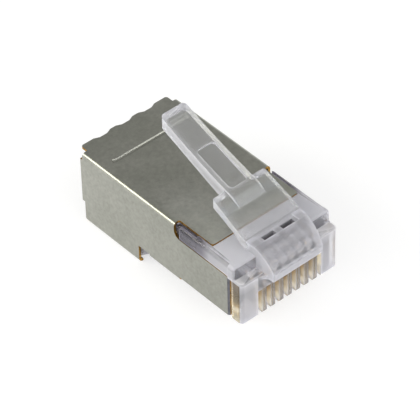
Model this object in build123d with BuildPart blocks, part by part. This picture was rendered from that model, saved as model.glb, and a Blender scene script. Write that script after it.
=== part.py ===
import os
from math import atan2, degrees, radians, sqrt, tan

from build123d import *

# Shielded eight-way modular plug, crimp type, without its cable. Millimetres.
# Origin: middle of the nose's front face, on the contact-side plane of the nose.
# +X across the plug, +Y from the nose towards the cable, +Z up to the latch side.

# Overall sizes
BODY_WIDTH = 11.68
DECK_HEIGHT = 6.35
BARREL_DROP = 2.05
SHELL_LENGTH = 23.35
TAIL_REACH = 0.6

# Sheet metal of the shell
SHEET = 0.25
BEND_RADIUS = 0.45
SHELL_CLEARANCE = 0.03
SIDE_FRONT_Y = 3.05
LIP_LENGTH = 0.2
LIP_TURN = 0.15
LIP_TO_PILLAR = 0.35
SIDE_BOTTOM_Z = 0.1
BARREL_FRONT_Y = 15.35
TONGUE_SETBACK = 2.65
TONGUE_INSET = 0.7
TONGUE_CORNER_RADIUS = 0.3
CORNER_SLOT_LENGTH = 7.15
CORNER_SLOT_DROP = 1.55
CORNER_SLOT_RADIUS = 0.75
TONGUE_ROOT_RADIUS = 0.2
FLANGE_FRONT_Y = 9.6
FLANGE_LENGTH = 4.2
FLANGE_WIDTH = 0.75
FLANGE_BEND_RADIUS = 0.3
SEAM_GAP = 0.8
FOOT_WIDTH = 0.5
FLAP_SETBACK = 1.0
BARREL_CORNER_RADIUS = 0.5
LOWER_REAR_SETBACK = 0.35
LOWER_REAR_TOP_Z = 0.45
REAR_CORNER_RADIUS = 0.6
TAIL_INSET = 0.64
TAIL_CORNER_RADIUS = 0.25
FOLD_NOTCH_DEPTH = 0.3
FOLD_NOTCH_HEIGHT = 0.75
VALLEY_COUNT = 3
VALLEY_PITCH = 2.7
VALLEY_DEPTH = 0.25
VALLEY_FLOOR = 0.88
VALLEY_MOUTH = 2.0
BEAD_FROM_REAR = 3.15
BEAD_HALF_LENGTH = 4.3
BEAD_WIDTH = 0.44
BEAD_DEPTH = 0.14
BEAD_HOOK = 0.12

# Clear moulding
COMB_FRONT_Y = 1.2
CHEEK_SETBACK = 1.0
CHEEK_DROP = 0.12
CHEEK_RADIUS = 0.3
LEDGE_Z = 4.78
LEDGE_CHAMFER = 0.12
RAIL_SHORTFALL = 0.65
RAIL_INSET = 0.05
RAIL_GROOVE_WIDTH = 0.28
RAIL_GROOVE_LENGTH = 2.0
RAIL_GROOVE_DEPTH = 0.8
HOUSING_REAR_SETBACK = 0.75
UNDERSIDE_STEP_LENGTH = 2.0
UNDERSIDE_STEP_LAP = 0.5
PILLAR_RADIUS = 0.45
COMB_EDGE_RADIUS = 0.2
FLARE_RADIUS = 0.85

# Nose block that carries the latch
SNOUT_FRONT_HALF_WIDTH = 2.95
SNOUT_REAR_HALF_WIDTH = 3.3
SNOUT_BOTTOM_Z = 4.3
SNOUT_LIP_HEIGHT = 0.85
SNOUT_RISE = 0.92
SNOUT_CREST_Y = 2.3
SNOUT_BULGE = 0.28
SNOUT_EDGE_RADIUS = 0.15
WINDOW_RIB_HALF_WIDTH = 0.4
WINDOW_WIDTH = 1.42
WINDOW_FRONT_Y = 2.5
WINDOW_LENGTH = 0.5
WINDOW_DEPTH = 0.9
FRAME_MARGIN = 0.4
FRAME_DEPTH = 0.1

# Contacts and the wire path
WAYS = 8
PITCH = 1.016
SLOT_WIDTH = 0.52
SLOT_HEIGHT = 2.95
SLOT_MOUTH_HEIGHT = 1.0
SLOT_RUNOUT = 0.4
BLADE_END_CLEARANCE = 0.03
WIRE_RADIUS = 0.44
WIRE_Z = 4.1
WIRE_FRONT_WALL = 0.9
CAVITY_FRONT_Y = 13.0
CAVITY_WALL = 0.9
FUNNEL_LENGTH = 2.2
BLADE_THICKNESS = 0.35
BLADE_FRONT_Y = 2.3
BLADE_LENGTH = 4.2
BLADE_RECESS = 0.4
BLADE_TOP_Z = 3.1
BLADE_NOSE_RADIUS = 0.76
TIP_HEIGHT = 0.75
TIP_WIDTH = 0.8
TIP_INSET = 0.95

# Conductor clamp bar, moulded in one with the underside
CLAMP_FRONT_Y = 8.4
CLAMP_LENGTH = 2.4
CLAMP_HALF_WIDTH = 3.9
CLAMP_HEIGHT = 1.7
CLAMP_GAP = 0.3
CLAMP_RECESS = 0.35
CLAMP_WEB = 0.35

# Latch lever
ROOT_RADIUS = 0.42
ROOT_CLEARANCE = 0.05
ROOT_Y = 3.62
ROOT_DEPTH = 0.43
WEB_SLOPE = 21.8
KNEE_OFFSET = 0.98
KNEE_RISE = 1.0
WEB_ROOT_THICKNESS = 0.8
WEB_SHOULDER_THICKNESS = 0.97
SHOULDER_Y = 8.0
SHOULDER_HALF_WIDTH = 3.08
SHOULDER_CORNER_CHAMFER = 0.08
SHOULDER_FILLET = 0.2
HANDLE_HALF_WIDTH = 1.57
HANDLE_END_HALF_WIDTH = 1.45
HANDLE_LENGTH = 8.87
HANDLE_SLOPE = 18.3
HANDLE_SAG = 0.21
HANDLE_BOTTOM_SLOPE = 20.5
HANDLE_END_THICKNESS = 1.3
HANDLE_PROUD = 0.36
HANDLE_CORNER_RADIUS = 0.4
HANDLE_HEEL_RADIUS = 0.5
RAMP_TOP_SETBACK = 1.1
RAMP_LENGTH = 0.87
POCKET_START = 0.9
POCKET_LENGTH = 4.9
POCKET_HALF_WIDTH = 1.05
POCKET_DEPTH = 0.42
POCKET_RADIUS = 0.4

# How far the cutting shapes run past the material, and how near an edge must lie to be picked
OVERCUT = 1.0
PICK_TOLERANCE = 0.01

# Sizes that follow from the ones above
half_width = BODY_WIDTH / 2
inner_half_width = half_width - SHEET
core_half_width = inner_half_width - SHELL_CLEARANCE
inner_top_z = DECK_HEIGHT - SHEET
core_top_z = inner_top_z - SHELL_CLEARANCE
deck_top_z = DECK_HEIGHT - CHEEK_DROP
inner_floor_z = SHEET - BARREL_DROP
core_floor_z = inner_floor_z + SHELL_CLEARANCE
inner_bend_radius = BEND_RADIUS - SHEET
barrel_inner_radius = BARREL_CORNER_RADIUS - SHEET

cheek_front_y = COMB_FRONT_Y + CHEEK_SETBACK
cheek_rear_y = SIDE_FRONT_Y - SHELL_CLEARANCE
ledge_bottom_z = LEDGE_Z - LEDGE_CHAMFER
lip_front_y = SIDE_FRONT_Y - LIP_LENGTH
lip_outer_x = half_width - LIP_TURN
lip_inner_x = lip_outer_x - SHEET
lip_height = ledge_bottom_z - SHELL_CLEARANCE - SIDE_BOTTOM_Z
pillar_rear_y = lip_front_y - LIP_TO_PILLAR
tongue_front_y = SIDE_FRONT_Y + TONGUE_SETBACK
deck_rear_y = tongue_front_y - SHELL_CLEARANCE
tongue_half_width = half_width - TONGUE_INSET
slot_rear_y = SIDE_FRONT_Y + CORNER_SLOT_LENGTH
slot_bottom_z = DECK_HEIGHT - CORNER_SLOT_DROP
rail_rear_y = slot_rear_y - RAIL_SHORTFALL
rail_bottom_z = slot_bottom_z + SHELL_CLEARANCE
rail_inner_x = tongue_half_width + SHELL_CLEARANCE
rail_outer_x = half_width - RAIL_INSET
flange_rear_y = FLANGE_FRONT_Y + FLANGE_LENGTH
flange_inner_x = half_width - FLANGE_WIDTH
flange_inner_z = -SHELL_CLEARANCE
flange_bottom_z = flange_inner_z - SHEET
step_rear_y = BARREL_FRONT_Y + UNDERSIDE_STEP_LAP
step_front_y = step_rear_y - UNDERSIDE_STEP_LENGTH
foot_inner_x = half_width - FOOT_WIDTH
housing_rear_y = SHELL_LENGTH - HOUSING_REAR_SETBACK
lower_rear_y = SHELL_LENGTH - LOWER_REAR_SETBACK
tail_y = SHELL_LENGTH + TAIL_REACH
tail_half_width = half_width - TAIL_INSET
bead_y = SHELL_LENGTH - BEAD_FROM_REAR
bead_radius = (BEAD_WIDTH**2 / 4 + BEAD_DEPTH**2) / (2 * BEAD_DEPTH)
bead_centre_z = DECK_HEIGHT + bead_radius - BEAD_DEPTH

snout_top_z = deck_top_z + SNOUT_RISE
snout_lip_top_z = SNOUT_BOTTOM_Z + SNOUT_LIP_HEIGHT
window_outer_x = WINDOW_RIB_HALF_WIDTH + WINDOW_WIDTH

blade_rear_y = BLADE_FRONT_Y + BLADE_LENGTH
tip_top_z = BLADE_TOP_Z + TIP_HEIGHT
slot_end_y = blade_rear_y + SLOT_RUNOUT
bore_front_y = COMB_FRONT_Y + WIRE_FRONT_WALL
cavity_half_width = core_half_width - CAVITY_WALL
cavity_top_z = core_top_z - CAVITY_WALL
cavity_floor_z = core_floor_z + CAVITY_WALL
clamp_rear_y = CLAMP_FRONT_Y + CLAMP_LENGTH

root_z = snout_top_z - ROOT_DEPTH
knee_y = ROOT_Y + KNEE_OFFSET
knee_z = root_z + KNEE_RISE
web_rise = tan(radians(WEB_SLOPE))
shoulder_top_z = knee_z + web_rise * (SHOULDER_Y - knee_y)
web_bottom_z = shoulder_top_z - WEB_SHOULDER_THICKNESS
web_end_y = SHOULDER_Y + SHOULDER_FILLET
web_end_z = shoulder_top_z + web_rise * SHOULDER_FILLET
root_touch = ROOT_RADIUS / sqrt(2)
ramp_top_y = SHOULDER_Y - RAMP_TOP_SETBACK
ramp_foot_y = ramp_top_y - RAMP_LENGTH
ramp_foot_z = knee_z + web_rise * (ramp_foot_y - knee_y)
handle_base_z = knee_z + web_rise * (ramp_top_y - knee_y) + HANDLE_PROUD
handle_rise = tan(radians(HANDLE_SLOPE))
handle_rear_y = SHOULDER_Y + HANDLE_LENGTH
handle_rear_z = handle_base_z + handle_rise * (handle_rear_y - ramp_top_y)
handle_end_z = handle_rear_z - HANDLE_END_THICKNESS
heel_y = handle_rear_y - (handle_end_z - web_bottom_z) / tan(radians(HANDLE_BOTTOM_SLOPE))


def side_outline(*points):
    """Face in the Y-Z plane from its corner points."""
    with BuildSketch(Plane.YZ) as outline:
        with BuildLine():
            Polyline(*points, close=True)
        make_face()
    return outline.sketch


def block(low, high, mode=Mode.ADD):
    """Box between two opposite corners, in the part in hand."""
    size = [b - a for a, b in zip(low, high)]
    middle = tuple((a + b) / 2 for a, b in zip(low, high))
    with Locations(middle):
        Box(*size, mode=mode)


def both_sides(low, high, mode=Mode.ADD):
    """The same box on the +X and the -X side."""
    block(low, high, mode)
    block((-high[0], low[1], low[2]), (-low[0], high[1], high[2]), mode)


def prism(low, high, bottom_radius=0, top_radius=0, mode=Mode.ADD):
    """Block along Y, symmetric about X = 0, with its own corner radii below and above."""
    half, front, bottom = low
    rear, top = high
    with BuildSketch(Plane.XZ.offset(-front)) as section:
        with Locations((0, (bottom + top) / 2)):
            Rectangle(2 * half, top - bottom)
        if top_radius:
            fillet(section.vertices().group_by(Axis.Y)[-1], radius=top_radius)
        if bottom_radius:
            fillet(section.vertices().group_by(Axis.Y)[0], radius=bottom_radius)
    extrude(section.sketch, amount=front - rear, mode=mode)


def bead_core(radius):
    """Round-ended bar with its two ends hooked towards the cable."""
    with BuildPart() as core:
        with Locations((0, bead_y, bead_centre_z)):
            Cylinder(radius, 2 * BEAD_HALF_LENGTH, rotation=(0, 90, 0))
        for side in (-1, 1):
            with Locations((side * BEAD_HALF_LENGTH, bead_y, bead_centre_z)):
                Sphere(radius)
            with Locations((side * BEAD_HALF_LENGTH, bead_y + BEAD_HOOK / 2, bead_centre_z)):
                Cylinder(radius, BEAD_HOOK, rotation=(90, 0, 0))
            with Locations((side * BEAD_HALF_LENGTH, bead_y + BEAD_HOOK, bead_centre_z)):
                Sphere(radius)
    return core.part


# Nose block: rounded beak over the comb, with the latch's root groove and two core windows
with BuildPart() as snout:
    with BuildSketch(Plane.YZ):
        with BuildLine():
            Polyline(
                (SNOUT_CREST_Y, snout_top_z),
                (ROOT_Y, snout_top_z),
                (ROOT_Y, SNOUT_BOTTOM_Z),
                (0, SNOUT_BOTTOM_Z),
                (0, snout_lip_top_z),
            )
            SagittaArc(
                (0, snout_lip_top_z),
                (SNOUT_CREST_Y, snout_top_z),
                SNOUT_BULGE,
            )
        make_face()
    extrude(amount=SNOUT_REAR_HALF_WIDTH, both=True)
    with BuildSketch(Plane.XY.offset(SNOUT_BOTTOM_Z)):
        with BuildLine():
            Polyline(
                (-SNOUT_FRONT_HALF_WIDTH, 0),
                (SNOUT_FRONT_HALF_WIDTH, 0),
                (SNOUT_REAR_HALF_WIDTH, ROOT_Y),
                (-SNOUT_REAR_HALF_WIDTH, ROOT_Y),
                close=True,
            )
        make_face()
    extrude(amount=snout_top_z, mode=Mode.INTERSECT)
    front_edges = snout.edges().group_by(Axis.Y)[0]
    fillet(front_edges, radius=SNOUT_EDGE_RADIUS)

# Housing: one clear moulding with comb, cheeks, nose block, wire bores and cable cavity
with BuildPart() as housing:
    extrude(
        side_outline(
            (cheek_front_y, 0),
            (step_front_y, 0),
            (step_rear_y, core_floor_z),
            (housing_rear_y, core_floor_z),
            (housing_rear_y, core_top_z),
            (cheek_front_y, core_top_z),
        ),
        amount=core_half_width,
        both=True,
    )
    lengthwise = housing.edges().filter_by(Axis.Y)
    fillet(lengthwise.group_by(Axis.Z)[-1], radius=BEND_RADIUS)
    lengthwise = housing.edges().filter_by(Axis.Y)
    fillet(lengthwise.group_by(Axis.Z)[0], radius=BARREL_CORNER_RADIUS)

    # The moulding is full width only in front of the shell's side plates
    with BuildPart(mode=Mode.PRIVATE) as comb:
        prism((half_width, COMB_FRONT_Y, 0), (pillar_rear_y, LEDGE_Z))
        fillet(comb.edges().filter_by(Axis.Z).group_by(Axis.Y)[0], radius=PILLAR_RADIUS)
        fillet(comb.edges().group_by(Axis.Z)[0].group_by(Axis.Y)[0], radius=COMB_EDGE_RADIUS)
        chamfer(comb.edges().group_by(Axis.Z)[-1].group_by(Axis.Y)[0], length=LEDGE_CHAMFER)
    add(comb.part)
    with BuildPart(mode=Mode.PRIVATE) as cheeks:
        prism((half_width, cheek_front_y, rail_bottom_z), (cheek_rear_y, deck_top_z), 0, BEND_RADIUS)
        prism((rail_outer_x, cheek_rear_y, rail_bottom_z), (rail_rear_y, deck_top_z), 0, BEND_RADIUS)
        block(
            (-rail_inner_x, deck_rear_y, rail_bottom_z),
            (rail_inner_x, rail_rear_y, DECK_HEIGHT),
            Mode.SUBTRACT,
        )
        both_sides(
            (rail_inner_x, rail_rear_y - RAIL_GROOVE_LENGTH, deck_top_z - RAIL_GROOVE_DEPTH),
            (rail_inner_x + RAIL_GROOVE_WIDTH, rail_rear_y, DECK_HEIGHT),
            Mode.SUBTRACT,
        )
        fillet(cheeks.edges().filter_by(Axis.X).group_by(Axis.Y)[0].sort_by(Axis.Z)[-1], CHEEK_RADIUS)
    add(cheeks.part)
    prism((half_width, cheek_front_y, ledge_bottom_z), (cheek_rear_y, rail_bottom_z))

    # Grooves behind the pillars for the turned-in front edges of the side plates
    both_sides(
        (lip_inner_x - SHELL_CLEARANCE, pillar_rear_y, -OVERCUT),
        (half_width + OVERCUT, SIDE_FRONT_Y + SHELL_CLEARANCE, ledge_bottom_z),
        Mode.SUBTRACT,
    )

    # Webs that sweep from the pillars' front face into the sides of the nose block
    with BuildSketch(Plane.XY.offset(SNOUT_BOTTOM_Z)) as flare:
        with BuildLine():
            Polyline(
                (SNOUT_FRONT_HALF_WIDTH + FLARE_RADIUS, COMB_FRONT_Y),
                (SNOUT_FRONT_HALF_WIDTH + FLARE_RADIUS, cheek_front_y),
                (0, cheek_front_y),
                (0, COMB_FRONT_Y - FLARE_RADIUS),
                (SNOUT_FRONT_HALF_WIDTH, COMB_FRONT_Y - FLARE_RADIUS),
            )
            TangentArc(
                (SNOUT_FRONT_HALF_WIDTH, COMB_FRONT_Y - FLARE_RADIUS),
                (SNOUT_FRONT_HALF_WIDTH + FLARE_RADIUS, COMB_FRONT_Y),
                tangent=(0, 1),
            )
        make_face()
        mirror(about=Plane.YZ)
    extrude(amount=ledge_bottom_z - SNOUT_BOTTOM_Z)
    add(snout.part)

    # Groove for the latch root, with clearance all round
    with Locations((0, ROOT_Y, root_z)):
        Cylinder(
            ROOT_RADIUS + ROOT_CLEARANCE,
            BODY_WIDTH,
            rotation=(0, 90, 0),
            mode=Mode.SUBTRACT,
        )

    # Framed recess with two core windows in front of the latch root
    block(
        (-window_outer_x - FRAME_MARGIN, WINDOW_FRONT_Y - FRAME_DEPTH, snout_top_z - FRAME_DEPTH),
        (window_outer_x + FRAME_MARGIN, ROOT_Y + OVERCUT, snout_top_z + OVERCUT),
        Mode.SUBTRACT,
    )
    both_sides(
        (WINDOW_RIB_HALF_WIDTH, WINDOW_FRONT_Y, snout_top_z - WINDOW_DEPTH),
        (window_outer_x, WINDOW_FRONT_Y + WINDOW_LENGTH, snout_top_z + OVERCUT),
        Mode.SUBTRACT,
    )

    # Comb slots: deep in front of the blades, shallow mouths below them, press slots above
    with GridLocations(PITCH, 0, WAYS, 1):
        block(
            (-SLOT_WIDTH / 2, COMB_FRONT_Y - OVERCUT, -OVERCUT),
            (SLOT_WIDTH / 2, BLADE_FRONT_Y, SLOT_HEIGHT),
            Mode.SUBTRACT,
        )
        block(
            (-SLOT_WIDTH / 2, COMB_FRONT_Y, -OVERCUT),
            (SLOT_WIDTH / 2, slot_end_y, SLOT_MOUTH_HEIGHT),
            Mode.SUBTRACT,
        )
        block(
            (-BLADE_THICKNESS / 2, BLADE_FRONT_Y - BLADE_END_CLEARANCE, 0),
            (BLADE_THICKNESS / 2, blade_rear_y + BLADE_END_CLEARANCE, WIRE_Z),
            Mode.SUBTRACT,
        )
        with Locations((0, (bore_front_y + CAVITY_FRONT_Y + OVERCUT) / 2, WIRE_Z)):
            Cylinder(
                WIRE_RADIUS,
                CAVITY_FRONT_Y + OVERCUT - bore_front_y,
                rotation=(90, 0, 0),
                mode=Mode.SUBTRACT,
            )

    # Cable cavity, with a ramp that lifts the wires to their bores
    extrude(
        side_outline(
            (CAVITY_FRONT_Y, WIRE_Z - WIRE_RADIUS),
            (CAVITY_FRONT_Y, WIRE_Z + WIRE_RADIUS),
            (CAVITY_FRONT_Y + FUNNEL_LENGTH, cavity_top_z),
            (housing_rear_y + OVERCUT, cavity_top_z),
            (housing_rear_y + OVERCUT, cavity_floor_z),
            (BARREL_FRONT_Y + CAVITY_WALL, cavity_floor_z),
        ),
        amount=cavity_half_width,
        both=True,
        mode=Mode.SUBTRACT,
    )

    # Window under the wires, with the clamp bar hung in it on a thin web
    block(
        (-CLAMP_HALF_WIDTH - CLAMP_GAP, CLAMP_FRONT_Y - CLAMP_GAP, -OVERCUT),
        (CLAMP_HALF_WIDTH + CLAMP_GAP, clamp_rear_y + CLAMP_GAP, WIRE_Z),
        Mode.SUBTRACT,
    )
    block(
        (-CLAMP_HALF_WIDTH, CLAMP_FRONT_Y, CLAMP_RECESS),
        (CLAMP_HALF_WIDTH, clamp_rear_y, CLAMP_RECESS + CLAMP_HEIGHT),
    )
    block(
        (-CLAMP_HALF_WIDTH, clamp_rear_y - CLAMP_WEB, CLAMP_RECESS + CLAMP_HEIGHT - CLAMP_WEB),
        (CLAMP_HALF_WIDTH, clamp_rear_y + 2 * CLAMP_GAP, CLAMP_RECESS + CLAMP_HEIGHT),
    )

    # Relief for the shell's pressed bead
    block(
        (-BEAD_HALF_LENGTH - BEAD_WIDTH, bead_y - BEAD_WIDTH, core_top_z - BEAD_DEPTH),
        (BEAD_HALF_LENGTH + BEAD_WIDTH, bead_y + BEAD_HOOK + BEAD_WIDTH, DECK_HEIGHT),
        Mode.SUBTRACT,
    )

# Shield shell: one folded sheet, cut away over the nose, with the cable barrel at the rear
with BuildPart() as shield_shell:
    prism(
        (half_width, SIDE_FRONT_Y, -BARREL_DROP),
        (SHELL_LENGTH, DECK_HEIGHT),
        BARREL_CORNER_RADIUS,
        BEND_RADIUS,
    )
    prism(
        (inner_half_width, SIDE_FRONT_Y - OVERCUT, inner_floor_z),
        (SHELL_LENGTH + OVERCUT, inner_top_z),
        barrel_inner_radius,
        inner_bend_radius,
        Mode.SUBTRACT,
    )
    block(
        (-SEAM_GAP / 2, SIDE_FRONT_Y, -BARREL_DROP - OVERCUT),
        (SEAM_GAP / 2, SHELL_LENGTH, 0),
        Mode.SUBTRACT,
    )

    # In front of the barrel the side plates stop just above the contact face
    with BuildSketch(Plane.YZ) as underside:
        with BuildLine():
            Polyline(
                (SIDE_FRONT_Y - OVERCUT, -BARREL_DROP - OVERCUT),
                (BARREL_FRONT_Y, -BARREL_DROP - OVERCUT),
                (BARREL_FRONT_Y, SIDE_BOTTOM_Z),
                (SIDE_FRONT_Y, SIDE_BOTTOM_Z),
                (SIDE_FRONT_Y, SIDE_BOTTOM_Z + OVERCUT),
                (SIDE_FRONT_Y - OVERCUT, SIDE_BOTTOM_Z + OVERCUT),
                close=True,
            )
        make_face()
    extrude(underside.sketch, amount=BODY_WIDTH, both=True, mode=Mode.SUBTRACT)

    # The barrel's flaps start behind its two corner feet
    block(
        (-foot_inner_x, BARREL_FRONT_Y - OVERCUT, -BARREL_DROP - OVERCUT),
        (foot_inner_x, BARREL_FRONT_Y + FLAP_SETBACK, 0),
        Mode.SUBTRACT,
    )

    # Two flanges folded in under the moulding
    with BuildPart(mode=Mode.PRIVATE) as flanges:
        prism(
            (half_width, FLANGE_FRONT_Y, flange_bottom_z),
            (flange_rear_y, BEND_RADIUS),
            FLANGE_BEND_RADIUS,
        )
        prism(
            (inner_half_width, FLANGE_FRONT_Y - OVERCUT, flange_inner_z),
            (flange_rear_y + OVERCUT, BEND_RADIUS + OVERCUT),
            FLANGE_BEND_RADIUS - SHEET,
            0,
            Mode.SUBTRACT,
        )
        block(
            (-flange_inner_x, FLANGE_FRONT_Y - OVERCUT, -OVERCUT),
            (flange_inner_x, flange_rear_y + OVERCUT, OVERCUT),
            Mode.SUBTRACT,
        )
    add(flanges.part)

    # Top plate: open over the nose, with a tongue freed by a slot along each fold
    block(
        (-half_width, SIDE_FRONT_Y - OVERCUT, slot_bottom_z),
        (half_width, tongue_front_y, DECK_HEIGHT + OVERCUT),
        Mode.SUBTRACT,
    )
    with BuildSketch(Plane.YZ.offset(tongue_half_width)) as corner_slot:
        with Locations(((SIDE_FRONT_Y - OVERCUT + slot_rear_y) / 2, slot_bottom_z + OVERCUT)):
            Rectangle(slot_rear_y - SIDE_FRONT_Y + OVERCUT, 2 * OVERCUT)
        fillet(corner_slot.vertices().sort_by(Axis.Y)[:2].sort_by(Axis.X)[-1], CORNER_SLOT_RADIUS)
    extrude(corner_slot.sketch, amount=TONGUE_INSET + OVERCUT, mode=Mode.SUBTRACT)
    mirror_tool = corner_slot.sketch.mirror(Plane.YZ)
    extrude(mirror_tool, amount=TONGUE_INSET + OVERCUT, dir=(-1, 0, 0), mode=Mode.SUBTRACT)
    tongue_corners = shield_shell.edges().filter_by(Axis.Z).filter_by_position(
        Axis.Y, tongue_front_y - PICK_TOLERANCE, tongue_front_y + PICK_TOLERANCE
    )
    fillet(tongue_corners, radius=TONGUE_CORNER_RADIUS)
    slot_ends = shield_shell.edges().filter_by(Axis.Z).filter_by_position(
        Axis.Y, slot_rear_y - PICK_TOLERANCE, slot_rear_y + PICK_TOLERANCE
    )
    tongue_roots = slot_ends.sort_by(lambda edge: abs(edge.center().X))[:2]
    fillet(tongue_roots, radius=TONGUE_ROOT_RADIUS)

    # Front edges of the side plates, turned in towards the moulding
    with BuildSketch(Plane.XY.offset(SIDE_BOTTOM_Z)) as lips:
        with BuildLine():
            Polyline(
                (half_width, SIDE_FRONT_Y),
                (lip_outer_x, lip_front_y),
                (lip_inner_x, lip_front_y),
                (inner_half_width, SIDE_FRONT_Y),
                close=True,
            )
        make_face()
        mirror(about=Plane.YZ)
    extrude(lips.sketch, amount=lip_height)

    # Rear end: set back below, notched at the folds, with a tail that has three valleys
    both_sides(
        (0, lower_rear_y, -BARREL_DROP - OVERCUT),
        (half_width + OVERCUT, SHELL_LENGTH + OVERCUT, LOWER_REAR_TOP_Z),
        Mode.SUBTRACT,
    )
    with BuildSketch(Plane.YZ) as rear_corner:
        with BuildLine():
            TangentArc(
                (lower_rear_y - REAR_CORNER_RADIUS, -BARREL_DROP),
                (lower_rear_y, REAR_CORNER_RADIUS - BARREL_DROP),
                tangent=(1, 0),
            )
            Polyline(
                (lower_rear_y, REAR_CORNER_RADIUS - BARREL_DROP),
                (lower_rear_y + OVERCUT, REAR_CORNER_RADIUS - BARREL_DROP),
                (lower_rear_y + OVERCUT, -BARREL_DROP - OVERCUT),
                (lower_rear_y - REAR_CORNER_RADIUS, -BARREL_DROP - OVERCUT),
                (lower_rear_y - REAR_CORNER_RADIUS, -BARREL_DROP),
            )
        make_face()
    extrude(rear_corner.sketch, amount=BODY_WIDTH, both=True, mode=Mode.SUBTRACT)
    both_sides(
        (tail_half_width, SHELL_LENGTH - FOLD_NOTCH_DEPTH, DECK_HEIGHT - FOLD_NOTCH_HEIGHT),
        (half_width + OVERCUT, SHELL_LENGTH + OVERCUT, DECK_HEIGHT + OVERCUT),
        Mode.SUBTRACT,
    )
    with BuildSketch(Plane.XY.offset(inner_top_z)) as tail:
        with Locations((0, (SHELL_LENGTH - SHEET + tail_y) / 2)):
            Rectangle(2 * tail_half_width, TAIL_REACH + SHEET)
        fillet(tail.vertices().group_by(Axis.Y)[-1], radius=TAIL_CORNER_RADIUS)
        with Locations((0, tail_y)):
            with GridLocations(VALLEY_PITCH, 0, VALLEY_COUNT, 1):
                Trapezoid(
                    VALLEY_MOUTH,
                    VALLEY_DEPTH,
                    degrees(atan2(VALLEY_DEPTH, (VALLEY_MOUTH - VALLEY_FLOOR) / 2)),
                    rotation=180,
                    align=(Align.CENTER, Align.MIN),
                    mode=Mode.SUBTRACT,
                )
    extrude(tail.sketch, amount=SHEET)

    # Bead pressed across the top plate
    with BuildPart(mode=Mode.PRIVATE) as bead_ridge:
        add(bead_core(bead_radius + SHEET))
        block(
            (-half_width, bead_y - OVERCUT, inner_top_z),
            (half_width, bead_y + 2 * OVERCUT, DECK_HEIGHT + 2 * OVERCUT),
            Mode.SUBTRACT,
        )
    add(bead_ridge.part)
    add(bead_core(bead_radius), mode=Mode.SUBTRACT)

# Latch lever: thin web that flexes at its root, with the handle raised over the shell
with BuildPart() as latch_lever:
    extrude(
        side_outline(
            (ROOT_Y, root_z),
            (ROOT_Y, root_z + ROOT_RADIUS),
            (knee_y, knee_z),
            (web_end_y, web_end_z),
            (web_end_y, web_bottom_z),
            (SHOULDER_Y, web_bottom_z),
            (knee_y + ROOT_RADIUS, knee_z + web_rise * ROOT_RADIUS - WEB_ROOT_THICKNESS),
            (ROOT_Y + root_touch, root_z - root_touch),
        ),
        amount=SNOUT_REAR_HALF_WIDTH,
        both=True,
    )
    with BuildSketch(Plane.XY.offset(root_z - ROOT_RADIUS)) as plan:
        with BuildLine():
            Polyline(
                (0, ROOT_Y - ROOT_RADIUS),
                (SNOUT_REAR_HALF_WIDTH, ROOT_Y - ROOT_RADIUS),
                (SNOUT_REAR_HALF_WIDTH, ROOT_Y + ROOT_RADIUS),
                (SHOULDER_HALF_WIDTH, SHOULDER_Y - SHOULDER_CORNER_CHAMFER),
                (SHOULDER_HALF_WIDTH - SHOULDER_CORNER_CHAMFER, SHOULDER_Y),
                (HANDLE_HALF_WIDTH + SHOULDER_FILLET, SHOULDER_Y),
            )
            TangentArc(
                (HANDLE_HALF_WIDTH + SHOULDER_FILLET, SHOULDER_Y),
                (HANDLE_HALF_WIDTH, web_end_y),
                tangent=(-1, 0),
            )
            Polyline(
                (HANDLE_HALF_WIDTH, web_end_y),
                (0, web_end_y),
                (0, ROOT_Y - ROOT_RADIUS),
            )
        make_face()
        mirror(about=Plane.YZ)
    extrude(plan.sketch, amount=2 * DECK_HEIGHT, mode=Mode.INTERSECT)

    # Root bar that rolls in the nose block's groove
    with Locations((0, ROOT_Y, root_z)):
        Cylinder(ROOT_RADIUS, 2 * SNOUT_REAR_HALF_WIDTH, rotation=(0, 90, 0))

    # Handle: ramped at its front, hollow-backed, narrowing to a rounded end
    with BuildPart(mode=Mode.PRIVATE) as handle:
        with BuildSketch(Plane.YZ) as profile:
            with BuildLine():
                SagittaArc(
                    (ramp_top_y, handle_base_z),
                    (handle_rear_y, handle_rear_z),
                    -HANDLE_SAG,
                )
                Polyline(
                    (handle_rear_y, handle_rear_z),
                    (handle_rear_y, handle_end_z),
                    (heel_y, web_bottom_z),
                    (SHOULDER_Y, web_bottom_z),
                    (ramp_foot_y, ramp_foot_z - HANDLE_PROUD),
                    (ramp_foot_y, ramp_foot_z),
                    (ramp_top_y, handle_base_z),
                )
            make_face()
            fillet(profile.vertices().group_by(Axis.X)[-1].sort_by(Axis.Y)[0], HANDLE_HEEL_RADIUS)
        extrude(profile.sketch, amount=HANDLE_HALF_WIDTH, both=True)
        with BuildSketch(Plane.XY) as taper:
            with BuildLine():
                Polyline(
                    (-HANDLE_HALF_WIDTH, ramp_foot_y),
                    (HANDLE_HALF_WIDTH, ramp_foot_y),
                    (HANDLE_HALF_WIDTH, web_end_y),
                    (HANDLE_END_HALF_WIDTH, handle_rear_y),
                    (-HANDLE_END_HALF_WIDTH, handle_rear_y),
                    (-HANDLE_HALF_WIDTH, web_end_y),
                    close=True,
                )
            make_face()
            fillet(taper.vertices().group_by(Axis.Y)[-1], radius=HANDLE_CORNER_RADIUS)
        extrude(taper.sketch, amount=2 * DECK_HEIGHT, mode=Mode.INTERSECT)
    add(handle.part)

    # Shallow pocket in the handle's upper face
    handle_top = Plane(
        origin=(0, ramp_top_y, handle_base_z),
        x_dir=(1, 0, 0),
        z_dir=(0, -handle_rise, 1),
    )
    with BuildSketch(handle_top) as pocket:
        with Locations((0, POCKET_START + POCKET_LENGTH / 2)):
            RectangleRounded(2 * POCKET_HALF_WIDTH, POCKET_LENGTH, POCKET_RADIUS)
    extrude(pocket.sketch, amount=-POCKET_DEPTH, mode=Mode.SUBTRACT)

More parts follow.
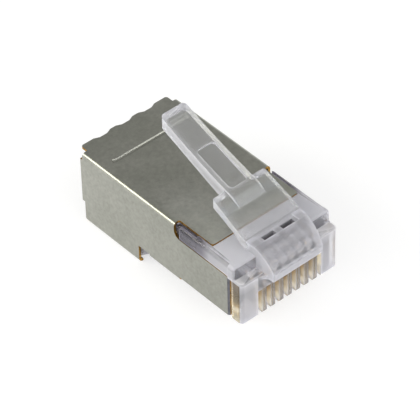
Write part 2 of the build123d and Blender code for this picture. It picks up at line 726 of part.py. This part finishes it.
# Contact blade: flat brass stamping, rounded at its lower front, with two piercing tips
with BuildPart() as blade:
    with BuildSketch(Plane.YZ) as outline:
        with Locations(((BLADE_FRONT_Y + blade_rear_y) / 2, (BLADE_RECESS + BLADE_TOP_Z) / 2)):
            Rectangle(BLADE_LENGTH, BLADE_TOP_Z - BLADE_RECESS)
        fillet(outline.vertices().sort_by(Axis.Y)[:2].sort_by(Axis.X)[0], BLADE_NOSE_RADIUS)
        for tip_y in (BLADE_FRONT_Y + TIP_INSET, blade_rear_y - TIP_INSET):
            with BuildLine():
                Polyline(
                    (tip_y - TIP_WIDTH / 2, BLADE_TOP_Z),
                    (tip_y + TIP_WIDTH / 2, BLADE_TOP_Z),
                    (tip_y, tip_top_z),
                    close=True,
                )
            make_face()
    extrude(outline.sketch, amount=BLADE_THICKNESS / 2, both=True)

os.makedirs("parts", exist_ok=True)
housing.part.label = "housing"
export_step(housing.part, "parts/housing.step")
shield_shell.part.label = "shield_shell"
export_step(shield_shell.part, "parts/shield_shell.step")
latch_lever.part.label = "latch_lever"
export_step(latch_lever.part, "parts/latch_lever.step")
for way in range(WAYS):
    contact = Pos((way - (WAYS - 1) / 2) * PITCH, 0, 0) * blade.part
    contact.label = f"contact_{way + 1}"
    export_step(contact, f"parts/contact_{way + 1}.step")
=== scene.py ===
from math import cos, inf, radians, sin

import bpy
from mathutils import Matrix, Vector


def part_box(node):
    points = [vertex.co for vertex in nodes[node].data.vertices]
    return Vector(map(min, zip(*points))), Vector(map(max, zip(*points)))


MM = 0.001

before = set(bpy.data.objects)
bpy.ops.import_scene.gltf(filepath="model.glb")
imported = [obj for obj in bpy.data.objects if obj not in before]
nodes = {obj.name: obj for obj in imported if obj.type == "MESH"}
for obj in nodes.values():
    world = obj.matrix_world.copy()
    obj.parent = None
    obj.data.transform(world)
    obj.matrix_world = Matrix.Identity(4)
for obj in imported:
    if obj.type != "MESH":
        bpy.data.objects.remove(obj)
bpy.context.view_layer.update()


def grey(value):
    return (value, value, value, 1)


def middle_x(node):
    """Place of a node's middle across the plug, in millimetres."""
    low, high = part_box(node)
    return (low.x + high.x) / 2 / MM


# Camera solved from the photograph: angles in degrees, lengths in millimetres
CAMERA_AZIMUTH = -40.49
CAMERA_ELEVATION = 42.39
CAMERA_ROLL = -1.44
CAMERA_DISTANCE = 270.64
CAMERA_TARGET = (0, 11.06, 3.85)
CAMERA_OFFSET = (-0.594, -0.045)
CAMERA_LENS = 254.91
SENSOR_WIDTH = 36.0
CLIP_START = 10
CLIP_END = 5000

# Places read from the frame: the shell's box in metres, the contacts' pitch in millimetres
SHELL_LOW, SHELL_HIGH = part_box("shield_shell")
CONTACT_PITCH = abs(middle_x("contact_2") - middle_x("contact_1"))

# Floor and light tent, in metres; the tent's tones run from the horizon to overhead
FLOOR_HALF = 1.5
FLOOR_GAP = 0.02 * MM
FLOOR_Z = SHELL_LOW.z - FLOOR_GAP
FLOOR_TONE = grey(0.5)
FLOOR_ROUGHNESS = 0.9
FLOOR_GLOW = 0.62
TENT_STRENGTH = 0.9
TENT_TONES = [
    (0.0, (0.95, 0.95, 0.96, 1)),
    (0.35, (0.85, 0.85, 0.86, 1)),
    (0.62, (0.40, 0.40, 0.385, 1)),
    (1.0, (0.55, 0.55, 0.55, 1)),
]

# Soft boxes: name, place and size in metres, energy in watts, colour; all aim at one point
LIGHT_TARGET = (0, 0.011, 0.004)
WHITE = (1, 1, 1)
CREAM = (1, 0.98, 0.84)
SOFT_BOXES = [
    ("left_box", (-0.32, -0.05, 0.14), (0.55, 0.32), 0.8, WHITE),
    ("front_box", (0.02, -0.35, 0.16), (0.5, 0.32), 0.5, WHITE),
    ("fold_box", (-0.236, 0.207, 0.168), (0.14, 0.14), 0.26, CREAM),
    ("ridge_box", (0.17, -0.15, 0.26), (0.08, 0.08), 0.07, WHITE),
]

# Nickel: tones, factors and roughness as (noise or squareness of the face, value)
NICKEL_TONE = [(0.25, (0.345, 0.35, 0.305, 1)), (0.75, (0.43, 0.43, 0.385, 1))]
NICKEL_MOTTLE = [(0.3, grey(0.88)), (0.7, grey(1.12))]
NICKEL_SHEEN = [(0.2, grey(0.27)), (0.8, grey(0.40))]
BEND_SHEEN = [(0.80, grey(0.74)), (0.97, grey(1.0))]

# Painted light on the nickel, as (millimetres along Y, factor): the top lighter, brightest towards
# the front, and the sides darker, darkest towards the front
TOP_PAINTED_LIGHT = [
    (3.0, grey(1.46)),
    (6.0, grey(1.3)),
    (10.0, grey(1.07)),
    (13.0, grey(1.0)),
    (23.0, grey(0.98)),
]
SIDE_PAINTED_SHADE = [(3.0, grey(0.79)), (10.0, grey(0.85)), (16.0, grey(0.89)), (23.0, grey(0.93))]

# Clear plastic: polish by noise, and milk as the surface turns away from square on
PLASTIC_IOR = 1.4
PLASTIC_POLISH = [(0.3, grey(0.10)), (0.75, grey(0.22))]
MILK_COLOR = (0.94, 0.94, 0.97)
MILK_BY_TURN = [(0.15, grey(0.06)), (0.6, grey(0.34))]
# Openness of a rim, from an edge to the middle of a face
RIM_FROM = 0.35
RIM_TO = 0.95

# Tints and shares of milk as (millimetres along an axis, value); most of the tints carry painted
# shade, painted amber and painted light, as told at each
# Clear tint at the nose, with painted shade from 6.5 to 11.5 mm along Y where the plastic lies
# inside the shell, lighter again towards the rear opening
HOUSING_TINT_AND_PAINTED_SHADE = [
    (5.5, (0.93, 0.93, 0.95, 1)),
    (6.5, (0.66, 0.65, 0.69, 1)),
    (8.0, (0.30, 0.29, 0.32, 1)),
    (11.5, (0.32, 0.31, 0.34, 1)),
    (15.0, (0.70, 0.70, 0.72, 1)),
    (22.0, (0.90, 0.90, 0.92, 1)),
]
HOUSING_MILK_ALONG = [(5.5, grey(1.0)), (7.5, grey(0.0))]
HOUSING_MILK_UP = [(3.5, grey(0.04)), (4.6, grey(0.2)), (5.9, grey(0.28)), (6.6, grey(0.3))]
DECK_MILK_UP = [(5.9, grey(0.35)), (6.2, grey(0.8))]
# Painted shade on the rails inside the shell's corner slots, darker towards the rear
RAIL_TINT_AND_PAINTED_SHADE = [
    (5.5, (0.93, 0.93, 0.95, 1)),
    (6.5, (0.58, 0.56, 0.62, 1)),
    (11.0, (0.34, 0.32, 0.38, 1)),
]
# Painted amber on the pillars' outer flanks, standing in for the gold and copper seen in the clear
# plastic; darker upwards
FLANK_PAINTED_AMBER = [
    (0.2, (0.97, 0.88, 0.60, 1)),
    (1.8, (0.90, 0.76, 0.48, 1)),
    (2.9, (0.66, 0.54, 0.34, 1)),
    (4.6, (0.46, 0.39, 0.32, 1)),
]
# Painted amber on the rib walls, standing in for the gold blades seen through the clear plastic,
# deeper towards the rear
RIB_WALL_PAINTED_AMBER = [
    (1.2, (0.99, 0.97, 0.92, 1)),
    (1.5, (0.95, 0.86, 0.66, 1)),
    (2.1, (0.78, 0.60, 0.32, 1)),
]
# Light and dark across each contact pitch on the rib fronts: painted amber of the gold blades seen
# through the clear plastic, and painted shade on one side
RIB_FRONT_PAINTED_AMBER_AND_SHADE = [
    (-0.25, (0.97, 0.96, 0.93, 1)),
    (-0.15, (0.90, 0.87, 0.79, 1)),
    (-0.07, (0.56, 0.45, 0.29, 1)),
    (0.02, (0.78, 0.75, 0.71, 1)),
    (0.17, (0.68, 0.66, 0.65, 1)),
    (0.25, (0.34, 0.32, 0.33, 1)),
]
PILLAR_TINT = [(0.0, (0.93, 0.93, 0.98, 1)), (4.8, (0.97, 0.97, 0.98, 1))]
PILLAR_MILK_UP = [(0.0, grey(0.34)), (3.6, grey(0.28)), (4.5, grey(0.48))]
# Painted shade on the cheeks' front faces, darker towards the bottom
CHEEK_FRONT_PAINTED_SHADE = [(4.8, (0.86, 0.86, 0.90, 1)), (6.2, (0.96, 0.96, 0.98, 1))]
# Painted light on the latch: a bluish band from 6.1 to 6.85 mm along Y, with more milk in the same
# band in LATCH_MILK_ALONG below
LATCH_TINT_AND_PAINTED_LIGHT = [
    (0.0, (0.98, 0.98, 0.98, 1)),
    (5.95, (0.98, 0.98, 0.98, 1)),
    (6.1, (0.91, 0.93, 0.96, 1)),
    (6.85, (0.91, 0.93, 0.96, 1)),
    (7.0, (0.96, 0.96, 0.97, 1)),
    (20.0, (0.96, 0.96, 0.98, 1)),
]
LATCH_MILK_ALONG = [
    (5.95, grey(0.05)),
    (6.1, grey(0.20)),
    (6.85, grey(0.08)),
    (7.0, grey(0.05)),
    (20.0, grey(0.05)),
]
LATCH_MILK_UP = [(8.25, grey(0.0)), (8.45, grey(1.0))]

# Faces of the shell: least size of the normal along the axis that they are told by
SQUARE = 0.999
END_SLANT = 0.05
LIP_SLANT = 0.5

# How far the shell's faces lie inside its box, in millimetres
LIP_DEPTH = 0.2
BEAD_DEPTH = 0.6
BEAD_FROM = 16.0
BEAD_TO = 18.5
PLATE_DEPTH = 0.5
SIDE_DEPTH = 0.4
FLANGE_INSET = 0.3

# Height that the flanges under the moulding stay below, in millimetres
FLANGE_TOP_Z = 0.3


def place_camera():
    azimuth = radians(CAMERA_AZIMUTH)
    elevation = radians(CAMERA_ELEVATION)
    roll = radians(CAMERA_ROLL)
    back = Vector(
        (sin(azimuth) * cos(elevation), -cos(azimuth) * cos(elevation), sin(elevation))
    )
    right = Vector((cos(azimuth), sin(azimuth), 0))
    up = back.cross(right)
    right_rolled = cos(roll) * right + sin(roll) * up
    up_rolled = -sin(roll) * right + cos(roll) * up
    place = (
        Vector(CAMERA_TARGET)
        + CAMERA_DISTANCE * back
        + CAMERA_OFFSET[0] * right_rolled
        + CAMERA_OFFSET[1] * up_rolled
    ) * MM
    data = bpy.data.cameras.new("photo_camera")
    data.lens = CAMERA_LENS
    data.sensor_width = SENSOR_WIDTH
    data.clip_start = CLIP_START * MM
    data.clip_end = CLIP_END * MM
    camera = bpy.data.objects.new("photo_camera", data)
    bpy.context.scene.collection.objects.link(camera)
    turn = Matrix((right_rolled, up_rolled, back)).transposed().to_4x4()
    camera.matrix_world = Matrix.Translation(place) @ turn
    bpy.context.scene.camera = camera


def feed(tree, value, socket):
    """Connect an output to a socket, or set the socket to a plain value."""
    if isinstance(value, bpy.types.NodeSocket):
        tree.links.new(value, socket)
    else:
        socket.default_value = value


def fill(tree, node, values):
    """Feed a node's inputs by name."""
    for name, value in values.items():
        feed(tree, value, node.inputs[name])


def node_material(name):
    material = bpy.data.materials.new(name)
    material.use_nodes = True
    return material, material.node_tree, material.node_tree.nodes["Principled BSDF"]


def noise(tree, place, scale, detail=2.0, roughness=0.5):
    node = tree.nodes.new("ShaderNodeTexNoise")
    values = {"Vector": place, "Scale": scale, "Detail": detail, "Roughness": roughness}
    fill(tree, node, values)
    return node.outputs["Fac"]


def ramp(tree, value, stops):
    node = tree.nodes.new("ShaderNodeValToRGB")
    elements = node.color_ramp.elements
    elements[0].position, elements[0].color = stops[0]
    elements[1].position, elements[1].color = stops[-1]
    for position, color in stops[1:-1]:
        elements.new(position).color = color
    feed(tree, value, node.inputs["Fac"])
    return node.outputs["Color"]


def bump(tree, height, distance, strength):
    """Normal for a relief of a height output; the distance is in millimetres."""
    node = tree.nodes.new("ShaderNodeBump")
    fill(tree, node, {"Height": height, "Distance": distance * MM, "Strength": strength})
    return node.outputs["Normal"]


def calculate(tree, operation, *values, clamp=False):
    node = tree.nodes.new("ShaderNodeMath")
    node.operation = operation
    node.use_clamp = clamp
    for value, socket in zip(values, node.inputs):
        feed(tree, value, socket)
    return node.outputs["Value"]


def total(tree, *shares):
    """Sum of outputs, held between 0 and 1."""
    whole = shares[0]
    for share in shares[1:]:
        whole = calculate(tree, "ADD", whole, share, clamp=True)
    return whole


def product(tree, *factors):
    """Factors multiplied channel by channel: outputs, or a plain (red, green, blue)."""
    whole = factors[0]
    for factor in factors[1:]:
        node = tree.nodes.new("ShaderNodeVectorMath")
        node.operation = "MULTIPLY"
        feed(tree, whole, node.inputs[0])
        feed(tree, factor, node.inputs[1])
        whole = node.outputs["Vector"]
    return whole


def along(tree, place, axis, stops, pitch=None):
    """Ramp over one of the object's own axes; its stops are (millimetres, colour) pairs.

    With a pitch, the ramp repeats round every multiple of it.
    """
    split = tree.nodes.new("ShaderNodeSeparateXYZ")
    feed(tree, place, split.inputs["Vector"])
    reach = split.outputs[axis]
    if pitch:
        half = pitch / 2 * MM
        reach = calculate(tree, "WRAP", reach, half, -half)
    start, end = stops[0][0], stops[-1][0]
    share = tree.nodes.new("ShaderNodeMapRange")
    fill(tree, share, {"Value": reach, "From Min": start * MM, "From Max": end * MM})
    scaled = [((stop - start) / (end - start), color) for stop, color in stops]
    return ramp(tree, share.outputs["Result"], scaled)


def mix_shaders(tree, share, first, second):
    node = tree.nodes.new("ShaderNodeMixShader")
    feed(tree, share, node.inputs["Fac"])
    feed(tree, first, node.inputs[1])
    feed(tree, second, node.inputs[2])
    return node.outputs["Shader"]


def painted_rim_highlight(tree, depth, share):
    """Share of milk close to an edge, seen from inside the plastic: a painted highlight for the
    light that clear edges catch; the depth is in millimetres.
    """
    node = tree.nodes.new("ShaderNodeAmbientOcclusion")
    node.inside = True
    node.only_local = True
    node.samples = 8
    feed(tree, depth * MM, node.inputs["Distance"])
    return ramp(tree, node.outputs["Color"], [(RIM_FROM, grey(share)), (RIM_TO, grey(0.0))])


def clear_plastic(name, tint_and_painted_light, milk=(), rim=None):
    """Clear moulding: tinted glass mixed with a milky body.

    The tint is an axis and its stops; in most materials it carries painted shade, painted amber and
    painted light. The milk grows as the surface turns away, by the product of its own (axis, stops)
    pairs, and near edges, where the rim is (depth, share) and the milk is a painted highlight.
    """
    material, tree, glass = node_material(name)
    place = tree.nodes.new("ShaderNodeTexCoord").outputs["Object"]
    # The tint's colour, with the painted shade, painted amber and painted light that most materials
    # carry in it
    tint_and_painted_light_color = along(tree, place, *tint_and_painted_light)
    haze = noise(tree, place, scale=900, detail=3)
    wave = bump(tree, noise(tree, place, scale=350), distance=0.02, strength=0.35)
    values = {
        "IOR": PLASTIC_IOR,
        "Transmission Weight": 1.0,
        "Base Color": tint_and_painted_light_color,
        "Roughness": ramp(tree, haze, PLASTIC_POLISH),
        "Normal": wave,
    }
    fill(tree, glass, values)

    front = tree.nodes.new("ShaderNodeBsdfDiffuse")
    through = tree.nodes.new("ShaderNodeBsdfTranslucent")
    clouded = product(tree, tint_and_painted_light_color, MILK_COLOR)
    for cloud in (front, through):
        fill(tree, cloud, {"Color": clouded, "Normal": wave})
    body = mix_shaders(tree, 0.5, front.outputs["BSDF"], through.outputs["BSDF"])

    turned = tree.nodes.new("ShaderNodeLayerWeight")
    feed(tree, 0.5, turned.inputs["Blend"])
    shares = [ramp(tree, turned.outputs["Facing"], MILK_BY_TURN)]
    # Milk near edges is a painted highlight
    if rim:
        shares.append(painted_rim_highlight(tree, *rim))
    if milk:
        shares.append(product(tree, *[along(tree, place, axis, stops) for axis, stops in milk]))
    whole = mix_shaders(tree, total(tree, *shares), glass.outputs["BSDF"], body)
    feed(tree, whole, tree.nodes["Material Output"].inputs["Surface"])
    return material


def nickel_sheet():
    """Satin nickel plating: cloudy and fine-grained, drawn smoother where the sheet is bent, with
    painted light that makes the top lighter and the sides darker.
    """
    material, tree, shader = node_material("nickel_plate")
    coordinates = tree.nodes.new("ShaderNodeTexCoord")
    place = coordinates.outputs["Object"]
    tone = ramp(tree, noise(tree, place, scale=260, detail=4), NICKEL_TONE)
    speck = noise(tree, place, scale=2600, detail=3, roughness=0.7)
    mottle = ramp(tree, speck, NICKEL_MOTTLE)
    split = tree.nodes.new("ShaderNodeSeparateXYZ")
    feed(tree, coordinates.outputs["Normal"], split.inputs["Vector"])
    # Painted light: faces that look up take the top's lighter factor, faces that look sideways the
    # sides' darker one
    painted_light_by_face = tree.nodes.new("ShaderNodeMix")
    painted_light_by_face.data_type = "RGBA"
    tones = {
        "Factor": split.outputs["Z"],
        "A": along(tree, place, "Y", SIDE_PAINTED_SHADE),
        "B": along(tree, place, "Y", TOP_PAINTED_LIGHT),
    }
    fill(tree, painted_light_by_face, tones)

    across, lengthways, upright = [
        calculate(tree, "ABSOLUTE", split.outputs[axis]) for axis in "XYZ"
    ]
    flatness = calculate(tree, "MAXIMUM", across, lengthways)
    flatness = calculate(tree, "MAXIMUM", flatness, upright)
    bend = ramp(tree, flatness, BEND_SHEEN)
    grain = noise(tree, place, scale=6000)
    sheen = ramp(tree, grain, NICKEL_SHEEN)
    values = {
        "Metallic": 1.0,
        "Base Color": product(tree, tone, mottle, painted_light_by_face.outputs["Result"]),
        "Roughness": product(tree, sheen, bend),
        "Normal": bump(tree, grain, distance=0.003, strength=0.35),
    }
    fill(tree, shader, values)
    return material


def mottled(name, scale, tones, roughness, detail=3, metallic=1.0, relief=None):
    """Surface that drifts between two tones; a relief is (millimetres deep, strength)."""
    material, tree, shader = node_material(name)
    place = tree.nodes.new("ShaderNodeTexCoord").outputs["Object"]
    drift = noise(tree, place, scale, detail)
    dark, light = tones
    values = {
        "Base Color": ramp(tree, drift, [(0.3, dark), (0.7, light)]),
        "Roughness": roughness,
        "Metallic": metallic,
    }
    fill(tree, shader, values)
    if relief:
        fill(tree, shader, {"Normal": bump(tree, drift, *relief)})
    return material


def rolled_edge():
    """Dark band on the turned-in front lip of each side plate, darker than the nickel."""
    tones = ((0.10, 0.10, 0.11, 1), (0.20, 0.20, 0.22, 1))
    return mottled("rolled_plate_edge", 1500, tones, roughness=0.38, relief=(0.01, 0.5))


def copper_edge():
    """Bare copper alloy, torn by the shear."""
    tones = ((0.19, 0.095, 0.020, 1), (0.60, 0.35, 0.075, 1))
    return mottled("sheared_copper_edge", 5000, tones, roughness=0.45, relief=(0.02, 0.6))


def gold_plate():
    tones = ((0.78, 0.50, 0.17, 1), (0.90, 0.66, 0.30, 1))
    return mottled("gold_flash", 3000, tones, roughness=0.24, relief=(0.01, 0.3))


def window_painted_shade():
    """Painted shade on the plastic inside the core windows, which looks down into the dark of the
    nose block.
    """
    tones = ((0.22, 0.215, 0.235, 1), (0.40, 0.39, 0.42, 1))
    return mottled("core_window_painted_shade", 1200, tones, roughness=0.25, detail=2, metallic=0.0)


def housing_finishes():
    """The housing's materials by zone, in the order of its slots."""
    milk = [("Y", HOUSING_MILK_ALONG), ("Z", HOUSING_MILK_UP)]
    deck_milk = [("Y", HOUSING_MILK_ALONG), ("Z", DECK_MILK_UP)]
    pillar_milk = [("Z", PILLAR_MILK_UP)]
    # The body's and the deck's tint carries painted shade where the plastic lies inside the shell
    body_tint_and_painted_shade = ("Y", HOUSING_TINT_AND_PAINTED_SHADE)
    # The rib fronts' tint is painted amber and painted shade across each contact pitch
    rib_front_painted_amber_and_shade = ("X", RIB_FRONT_PAINTED_AMBER_AND_SHADE, CONTACT_PITCH)
    # The cheek fronts' tint is painted shade
    cheek_painted_shade = ("Z", CHEEK_FRONT_PAINTED_SHADE)
    return {
        "body": clear_plastic("housing_plastic", body_tint_and_painted_shade, milk, rim=(0.4, 0.25)),
        "window": window_painted_shade(),
        "flank": clear_plastic("pillar_flank_plastic", ("Z", FLANK_PAINTED_AMBER), milk),
        "rib_wall": clear_plastic("rib_wall_plastic", ("Y", RIB_WALL_PAINTED_AMBER), milk),
        "rib_front": clear_plastic("rib_front_plastic", rib_front_painted_amber_and_shade, milk),
        "pillar": clear_plastic("pillar_plastic", ("Z", PILLAR_TINT), pillar_milk, rim=(0.4, 0.4)),
        "cheek_front": clear_plastic("cheek_front_plastic", cheek_painted_shade, rim=(0.4, 0.1)),
        "deck": clear_plastic("deck_plastic", body_tint_and_painted_shade, deck_milk, rim=(0.4, 0.2)),
        "rail": clear_plastic("rail_plastic", ("Y", RAIL_TINT_AND_PAINTED_SHADE), milk, rim=(0.25, 0.45)),
    }


def latch_finishes():
    milk = [("Y", LATCH_MILK_ALONG), ("Z", LATCH_MILK_UP)]
    # The latch's tint carries a band of painted light
    return {"latch": clear_plastic("latch_plastic", ("Y", LATCH_TINT_AND_PAINTED_LIGHT), milk, rim=(0.8, 0.35))}


def shell_finishes():
    return {"plate": nickel_sheet(), "cut": copper_edge(), "lip": rolled_edge()}


def any_way(normal):
    return True


def sideways(normal):
    return abs(normal.x) > 0.9


def forward(normal):
    return normal.y < -0.9


def level(normal):
    return normal.z > 0.99


def rising(normal):
    return normal.z > 0.1


# Zones of the housing: name, the way their faces look, and where the faces' centres lie in X
# outwards from the middle, in Y and in Z, in millimetres. A face is in the first that fits.
ALL = (-inf, inf)
HOUSING_ZONES = [
    # The core windows take painted shade
    ("window", any_way, (0.39, 1.83), (2.49, 3.01), (6.2, 7.04)),
    ("flank", sideways, (5.8, inf), (-inf, 2.5), (-inf, 4.7)),
    ("rib_wall", sideways, (-inf, 3.9), (-inf, 2.4), (-inf, 3.0)),
    ("rib_front", forward, (-inf, 3.9), (-inf, 1.3), (-inf, 3.0)),
    ("pillar", any_way, (3.9, inf), (-inf, 2.15), (-inf, 4.9)),
    ("cheek_front", forward, (3.4, inf), (2.0, 2.3), (4.8, inf)),
    ("rail", any_way, (4.9, inf), (5.0, inf), (4.7, inf)),
    ("deck", level, ALL, ALL, (6.15, 6.3)),
    ("deck", rising, (3.2, inf), ALL, (5.9, inf)),
]


def housing_zone(polygon):
    centre = polygon.center / MM
    place = (abs(centre.x), centre.y, centre.z)
    for name, looks, *ranges in HOUSING_ZONES:
        inside = all(low < reach < high for reach, (low, high) in zip(place, ranges))
        if inside and looks(polygon.normal):
            return name
    return "body"


def is_sheared(polygon):
    """Whether a face of the shell is a cut edge of its sheet, and not a plate, bend or bead."""
    normal = polygon.normal
    centre = polygon.center
    below_top = (SHELL_HIGH.z - centre.z) / MM
    above_flaps = (centre.z - SHELL_LOW.z) / MM
    from_front = (centre.y - SHELL_LOW.y) / MM
    from_side = (SHELL_HIGH.x - abs(centre.x)) / MM
    if abs(normal.y) > END_SLANT:
        return not (below_top < BEAD_DEPTH and BEAD_FROM < from_front < BEAD_TO)
    if abs(normal.z) > SQUARE:
        on_flange = from_side > FLANGE_INSET and centre.z / MM < FLANGE_TOP_Z
        return min(below_top, above_flaps) > PLATE_DEPTH and not on_flange
    if abs(normal.x) > SQUARE:
        return from_side > SIDE_DEPTH
    return False


def shell_zone(polygon):
    """Cut edge, plate, or the turned-in front lip of a side plate."""
    from_front = (polygon.center.y - SHELL_LOW.y) / MM
    if abs(polygon.normal.x) > LIP_SLANT and from_front < LIP_DEPTH:
        return "lip"
    return "cut" if is_sheared(polygon) else "plate"


def dress(node, finishes, zone_of=None):
    """Give a node its materials, and each face the one of its zone."""
    node.data.materials.clear()
    for material in finishes.values():
        node.data.materials.append(material)
    if zone_of:
        slots = list(finishes)
        for polygon in node.data.polygons:
            polygon.material_index = slots.index(zone_of(polygon))


def floor():
    half = FLOOR_HALF
    mesh = bpy.data.meshes.new("floor")
    corners = [(-half, -half, 0), (half, -half, 0), (half, half, 0), (-half, half, 0)]
    mesh.from_pydata(corners, [], [(0, 1, 2, 3)])
    sheet = bpy.data.objects.new("floor", mesh)
    sheet.location.z = FLOOR_Z
    bpy.context.scene.collection.objects.link(sheet)
    material, tree, shader = node_material("white_sweep")
    values = {
        "Base Color": FLOOR_TONE,
        "Roughness": FLOOR_ROUGHNESS,
        "Emission Color": grey(1),
        "Emission Strength": FLOOR_GLOW,
    }
    fill(tree, shader, values)
    mesh.materials.append(material)


def soft_box(name, place, size, energy, color):
    data = bpy.data.lights.new(name, "AREA")
    data.shape = "RECTANGLE"
    data.size, data.size_y = size
    data.energy = energy
    data.color = color
    lamp = bpy.data.objects.new(name, data)
    lamp.location = place
    aim = Vector(LIGHT_TARGET) - Vector(place)
    lamp.rotation_euler = aim.to_track_quat("-Z", "Y").to_euler()
    bpy.context.scene.collection.objects.link(lamp)


def studio():
    """Light tent: bright round the horizon and below, darker overhead, with soft boxes."""
    world = bpy.data.worlds.new("studio")
    world.use_nodes = True
    tree = world.node_tree
    direction = tree.nodes.new("ShaderNodeTexCoord")
    split = tree.nodes.new("ShaderNodeSeparateXYZ")
    feed(tree, direction.outputs["Generated"], split.inputs["Vector"])
    sky = ramp(tree, split.outputs["Z"], TENT_TONES)
    fill(tree, tree.nodes["Background"], {"Color": sky, "Strength": TENT_STRENGTH})
    bpy.context.scene.world = world
    for box in SOFT_BOXES:
        soft_box(*box)


place_camera()
studio()
floor()

dress(nodes["housing"], housing_finishes(), housing_zone)
dress(nodes["latch_lever"], latch_finishes())
dress(nodes["shield_shell"], shell_finishes(), shell_zone)
blade = {"blade": gold_plate()}
for name, node in nodes.items():
    if name.startswith("contact_"):
        dress(node, blade)

bpy.context.scene.view_settings.view_transform = "Standard"
